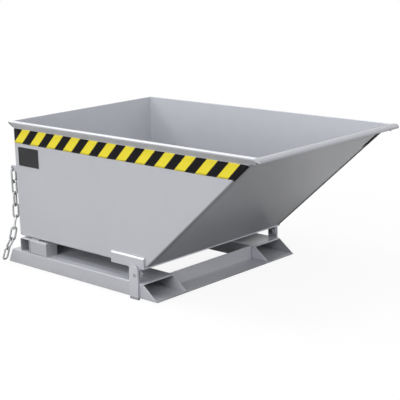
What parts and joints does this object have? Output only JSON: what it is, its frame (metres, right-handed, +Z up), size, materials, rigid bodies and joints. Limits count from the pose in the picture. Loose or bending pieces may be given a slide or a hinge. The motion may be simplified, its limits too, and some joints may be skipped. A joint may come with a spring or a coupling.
{
  "type": "tipping hopper",
  "caption": "Forklift tipping hopper: sloped sheet-steel tub with folded rims and hazard tape, hinged at the front of a low base frame with open fork pockets, a rear catch and a safety chain.",
  "frame": {"origin": "on the floor under the middle of the whole length and width", "axes": "+X forward to the chute, +Y to the left, +Z up"},
  "size_m": [1.7961, 1.0742, 0.7744],
  "materials": {
    "tub_paint": "light silver grey paint, semi-gloss",
    "frame_paint": "light silver grey paint, semi-gloss",
    "hazard_tape": "yellow and black slanted stripes",
    "label": "plain dark plate with a pale border, nothing written on it",
    "zinc_chain": "dull zinc",
    "bare_steel": "turned steel",
    "pad_rubber": "grey rubber"
  },
  "bodies": {
    "frame": {"front_base_plate": "frame_paint", "front_cross_plate": "frame_paint", "hinge_bracket_left": "frame_paint", "hinge_bracket_right": "frame_paint", "hinge_pin_left": "bare_steel", "hinge_pin_right": "bare_steel", "latch_cheek_left": "frame_paint", "latch_cheek_right": "frame_paint", "latch_pin": "bare_steel", "latch_stop": "bare_steel", "pocket_floor_left": "frame_paint", "pocket_floor_right": "frame_paint", "pocket_inner_left": "frame_paint", "pocket_inner_right": "frame_paint", "pocket_outer_left": "frame_paint", "pocket_outer_right": "frame_paint", "pocket_top_left": "frame_paint", "pocket_top_right": "frame_paint", "rear_cross_tube": "frame_paint", "rear_foot_left": "frame_paint", "rear_foot_right": "frame_paint", "rest_cap_left": "frame_paint", "rest_cap_right": "frame_paint", "rest_pad_left": "pad_rubber", "rest_pad_right": "pad_rubber", "rest_tube_left": "frame_paint", "rest_tube_right": "frame_paint"},
    "hopper": {"rear_wall": "tub_paint", "floor_plate": "tub_paint", "chute_plate": "tub_paint", "side_wall_left": "tub_paint", "side_wall_right": "tub_paint", "rim_left": "tub_paint", "rim_right": "tub_paint", "rim_rear": "tub_paint", "front_lip": "tub_paint", "lip_end_left": "tub_paint", "lip_end_right": "tub_paint", "floor_bar": "tub_paint", "hinge_plate_left": "tub_paint", "hinge_plate_right": "tub_paint", "hinge_bush_left": "bare_steel", "hinge_bush_right": "bare_steel", "hazard_tape_left": "hazard_tape", "hazard_tape_right": "hazard_tape", "label_plate": "label", "latch_strike": "tub_paint", "chain_lug": "tub_paint"},
    "latch": {"latch_lever": "frame_paint", "latch_nose": "frame_paint"},
    "chain": {"chain_links": "zinc_chain", "chain_end_link": "zinc_chain"}
  },
  "joints": [
    {"name": "hopper_tip", "type": "hinge", "parent": "frame", "child": "hopper", "pos_m": [0.12, 0, 0.1184], "axis": [0, 1, 0], "range_deg": [0, 77]},
    {"name": "latch_swing", "type": "hinge", "parent": "frame", "child": "latch", "pos_m": [-0.827, 0, 0.114], "axis": [0, 1, 0], "range_deg": [0, 25]},
    {"name": "chain_swing", "type": "hinge", "parent": "hopper", "child": "chain", "pos_m": [-0.816, -0.488, 0.5184], "axis": [0, 1, 0], "range_deg": [0, 35]}
  ]
}
